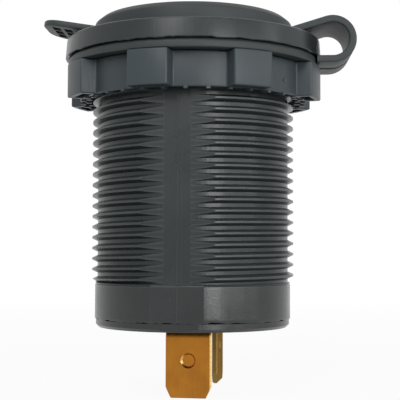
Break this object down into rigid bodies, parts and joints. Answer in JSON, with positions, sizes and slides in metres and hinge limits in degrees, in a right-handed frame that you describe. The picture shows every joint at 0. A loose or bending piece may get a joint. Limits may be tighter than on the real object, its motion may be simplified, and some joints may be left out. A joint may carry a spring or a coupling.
{
  "type": "vehicle power socket",
  "caption": "Round panel-mount vehicle power socket with a threaded barrel with flats, a lobed ring nut, a dust cap on a strap and brass blade terminals.",
  "frame": {"origin": "on the barrel's axis at the panel seat, which is the underside of the strap ring below the flange", "axes": "+Z out of the socket's mouth, +Y and -Y square to the barrel's two flats, positive blade towards -Y"},
  "size_m": [0.0442, 0.036, 0.0525],
  "materials": {
    "body_plastic": "moulded satin black",
    "nut_plastic": "moulded satin black",
    "soft_cap": "soft moulded matte black",
    "plated_sleeve": "bright nickel plate",
    "brass": "stamped, lightly tarnished"
  },
  "bodies": {
    "socket": {"socket_body": "body_plastic", "contact_sleeve": "plated_sleeve", "rear_cover": "body_plastic", "centre_contact": "brass", "positive_terminal": "brass", "negative_terminal": "brass", "negative_rivet": "brass", "strap_ring": "soft_cap", "cap_strap": "soft_cap"},
    "cap": {"dust_cap": "soft_cap"},
    "nut": {"panel_nut": "nut_plastic"}
  },
  "joints": [
    {"name": "cap_hinge", "type": "hinge", "parent": "socket", "child": "cap", "pos_m": [0.02198, 0.00231, 0.00353], "axis": [-0.1045, 0.9945, 0], "range_deg": [0, 135], "deforming": ["cap_strap"]},
    {"name": "nut_travel", "type": "slide", "parent": "socket", "child": "nut", "axis": [0, 0, 1], "range_m": [-0.0253, 0]}
  ]
}
